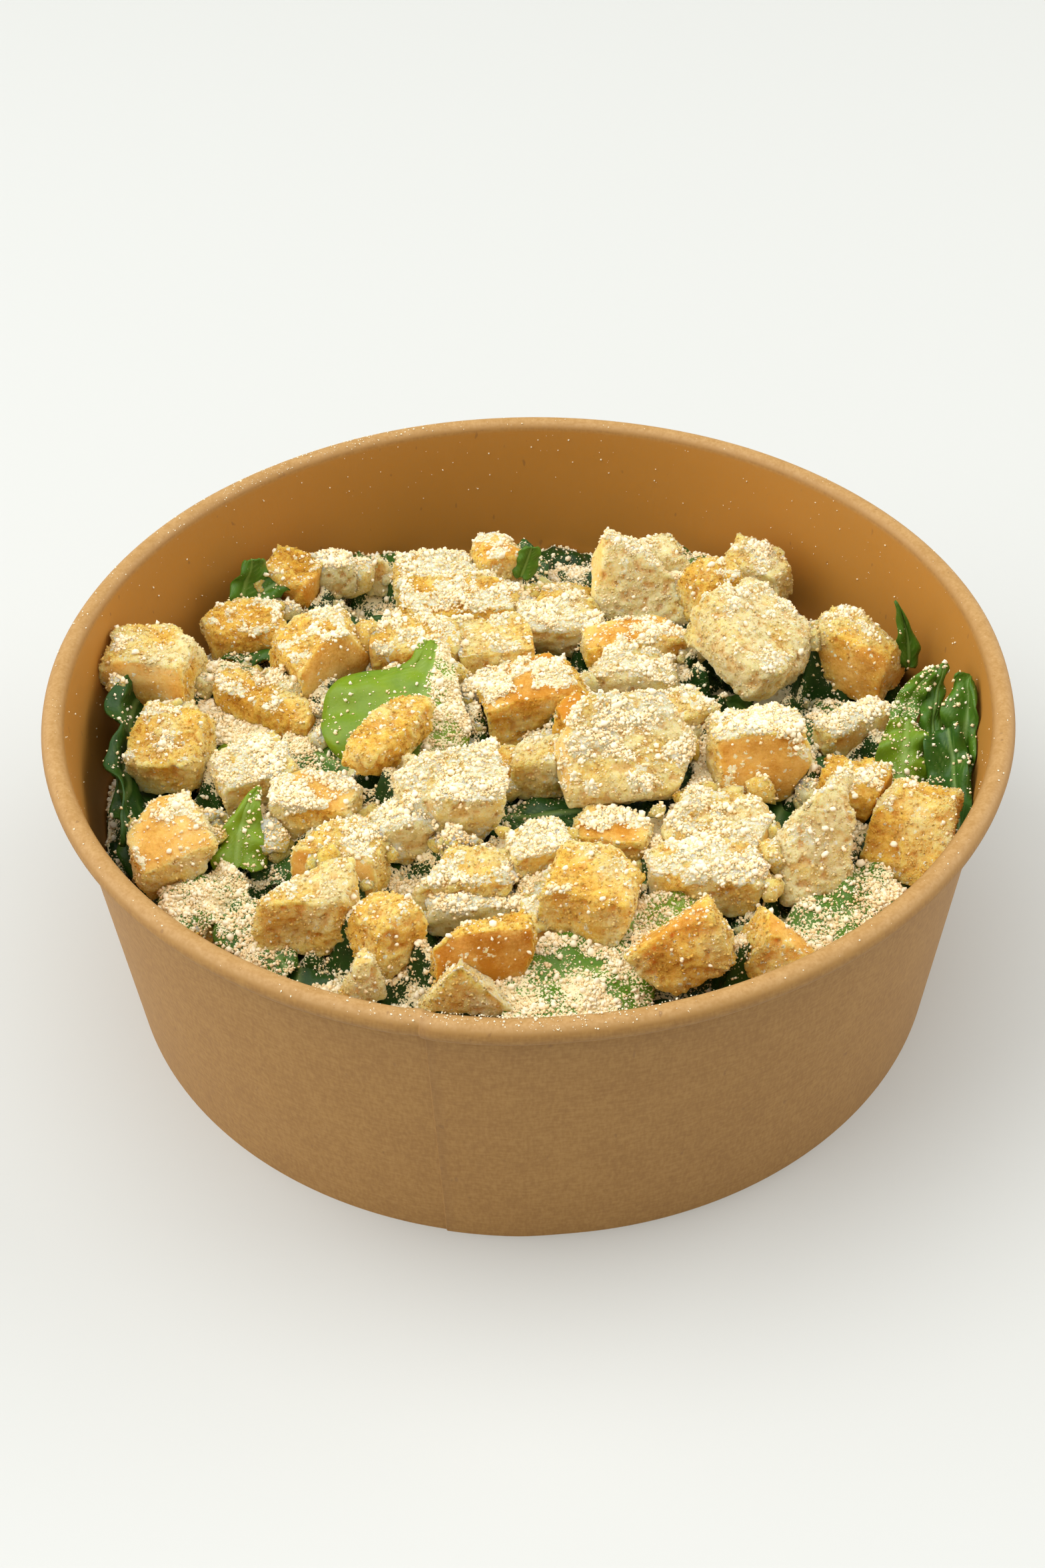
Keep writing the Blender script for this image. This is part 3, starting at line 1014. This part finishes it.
def lump_mesh(name, faces):
    """A small rough lump with a given number of faces, as points and corners."""
    bare()
    if faces == 8:
        bpy.ops.mesh.primitive_cone_add(vertices=4, radius1=1, radius2=0, depth=1, location=(0, 0, 0.5))
        bpy.ops.object.transform_apply(location=True)
        bpy.ops.object.mode_set(mode="EDIT")
        bpy.ops.mesh.select_all(action="DESELECT")
        bpy.ops.object.mode_set(mode="OBJECT")
        for face in bpy.context.object.data.polygons:
            face.select = len(face.vertices) == 4
        bpy.ops.object.mode_set(mode="EDIT")
        bpy.ops.mesh.poke(offset=1)
        bpy.ops.object.mode_set(mode="OBJECT")
    else:
        bpy.ops.mesh.primitive_ico_sphere_add(subdivisions=1, radius=1)
    lump = bpy.context.object
    corners_of_lump = [tuple(face.vertices) for face in lump.data.polygons]
    points_of_lump = points_of(lump)
    bpy.data.objects.remove(lump)
    return points_of_lump, np.array(corners_of_lump)


def scatter(name, places, outward, faces, low, high, raised):
    """Join lumps of sizes from low to high, one at each place, into one mesh."""
    count = len(places)
    shape, shape_corners = lump_mesh(name, faces)
    turns = fallen.normal(size=(count, 4))
    turns /= np.linalg.norm(turns, axis=1)[:, None]
    w, x, y, z = turns.T
    spin = np.stack([
        np.stack([1 - 2 * (y * y + z * z), 2 * (x * y - z * w), 2 * (x * z + y * w)], 1),
        np.stack([2 * (x * y + z * w), 1 - 2 * (x * x + z * z), 2 * (y * z - x * w)], 1),
        np.stack([2 * (x * z - y * w), 2 * (y * z + x * w), 1 - 2 * (x * x + y * y)], 1)], 1)
    size = low * (high / low) ** (fallen.random(count) ** 1.6)
    stretch = fallen.uniform(0.55, 1.25, (count, 1, 3))
    uneven = fallen.uniform(0.75, 1.25, (count, len(shape), 1))
    lumps = shape[None] * stretch * uneven * (size / 2)[:, None, None]
    lumps = np.einsum("nij,nkj->nki", spin, lumps) + (places + outward * (size * raised)[:, None])[:, None]
    corners_all = shape_corners[None] + (np.arange(count) * len(shape))[:, None, None]
    mesh = bpy.data.meshes.new(name)
    mesh.vertices.add(count * len(shape))
    mesh.vertices.foreach_set("co", lumps.ravel())
    mesh.loops.add(corners_all.size)
    mesh.loops.foreach_set("vertex_index", corners_all.ravel())
    mesh.polygons.add(count * len(shape_corners))
    mesh.polygons.foreach_set("loop_start", np.arange(0, corners_all.size, 3))
    mesh.update(calc_edges=True)
    mesh.validate()
    piece = bpy.data.objects.new(name, mesh)
    bpy.context.scene.collection.objects.link(piece)
    if name != "parmesan_on_rim":
        keep_in_bowl(piece, 0.1 * MM)
    return piece


layers = {layer: over_triangles(layer) for layer in ("toast", "cheese", "crust", "pit")}
torn_face = (owners <= len(croutons)) * (1 - layers["crust"]) * (1 - 0.8 * layers["cheese"])
likely = area * np.clip(facing + 0.6, 0, 1) * torn_face
nap_material = bread_finish.material.copy()
nap_material.name = "crumb_nap"
nap_material.node_tree.nodes["Principled BSDF"].inputs["Subsurface Weight"].default_value = 0
for part in range(2):
    triangles, places, outward = open_places(NAP_COUNT // 2, likely, 1.5)
    nap = scatter(f"crumb_nap_{part + 1}", places, outward, 8, 0.35 * MM, 1.0 * MM, 0.0)
    each = len(nap.data.vertices) // len(places)
    nap.data.shade_smooth()
    for layer, values in layers.items():
        record_values(nap, layer, np.repeat(values[triangles] * (layer != "cheese"), each))
    nap.data.materials.append(nap_material)
    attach(nap, "root")


# ---- Parmesan ----
# Grated parmesan: dust, short grains and a few larger crumbs, which lie on whatever faces up. Each kind is
# one joined mesh of small uneven lumps.
CHEESE_LIGHT = (1.0, 0.91, 0.67)
CHEESE_WARM = (0.97, 0.77, 0.45)
DUST_COUNT = 24000
GRAIN_COUNT = 54000
CRUMB_COUNT = 3600
RIM_COUNT = 1100

lying = over_triangles("cheese") + over_triangles("powder")
likely = area * (0.04 + np.clip(facing, 0, 1)) * (0.05 + lying)
likely *= 0.35 + np.clip(0.5 + 1.0 * mottle(centre, 3.0 * MM, 2.2), 0, 2)


def add_cheese(name, places, outward, faces, low, high, material):
    """One kind of grated cheese at its places."""
    piece = scatter(name, places, outward, faces, low, high, 0.22)
    piece.data.shade_smooth()
    piece.data.materials.append(material)
    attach(piece, "root")


def sprinkled_rim(count):
    """Places on the bowl's inner wall and on its bead, thicker at the back left and beside the seam."""
    around = np.concatenate([fallen.uniform(-math.pi, math.pi, count // 2), fallen.normal(2.2, 0.28, count // 4),
                             fallen.normal(SEAM_ANGLE + 0.18, 0.16, count - count // 2 - count // 4)])
    on_bead = (fallen.random(count) < 0.35) | (np.arange(count) >= count // 2)
    over = np.where(on_bead, fallen.uniform(-0.9, 0.9, count), 0)
    height = np.where(on_bead, BOWL_HEIGHT - BEAD_RADIUS * (1 - np.cos(over)), fallen.uniform(46, 64, count) * MM)
    bead = RIM_RADIUS - BEAD_RADIUS + BEAD_RADIUS * np.sin(over)
    radius = np.where(on_bead, bead, inner_radius(height))
    flat = np.where(on_bead, np.sin(over), -1)
    way = np.column_stack([flat * np.cos(around), flat * np.sin(around), np.where(on_bead, np.cos(over), 0)])
    return np.column_stack([radius * np.cos(around), radius * np.sin(around), height]), way


light_cheese = Finish("parmesan_light", CHEESE_LIGHT, 0.95, Specular_IOR_Level=0.1).material
warm_cheese = Finish("parmesan_warm", CHEESE_WARM, 0.95, Specular_IOR_Level=0.1).material
add_cheese("parmesan_dust", *open_places(DUST_COUNT, likely, 0)[1:], 8, 0.2 * MM, 0.4 * MM, light_cheese)
for part in range(3):
    add_cheese(f"parmesan_grains_{part + 1}", *open_places(GRAIN_COUNT // 3, likely, 0)[1:], 8, 0.4 * MM, 1.1 * MM,
               warm_cheese if part else light_cheese)
add_cheese("parmesan_crumbs", *open_places(CRUMB_COUNT, likely, 0)[1:], 20, 0.8 * MM, 1.6 * MM, light_cheese)
add_cheese("parmesan_on_rim", *sprinkled_rim(RIM_COUNT), 8, 0.15 * MM, 0.5 * MM, light_cheese)
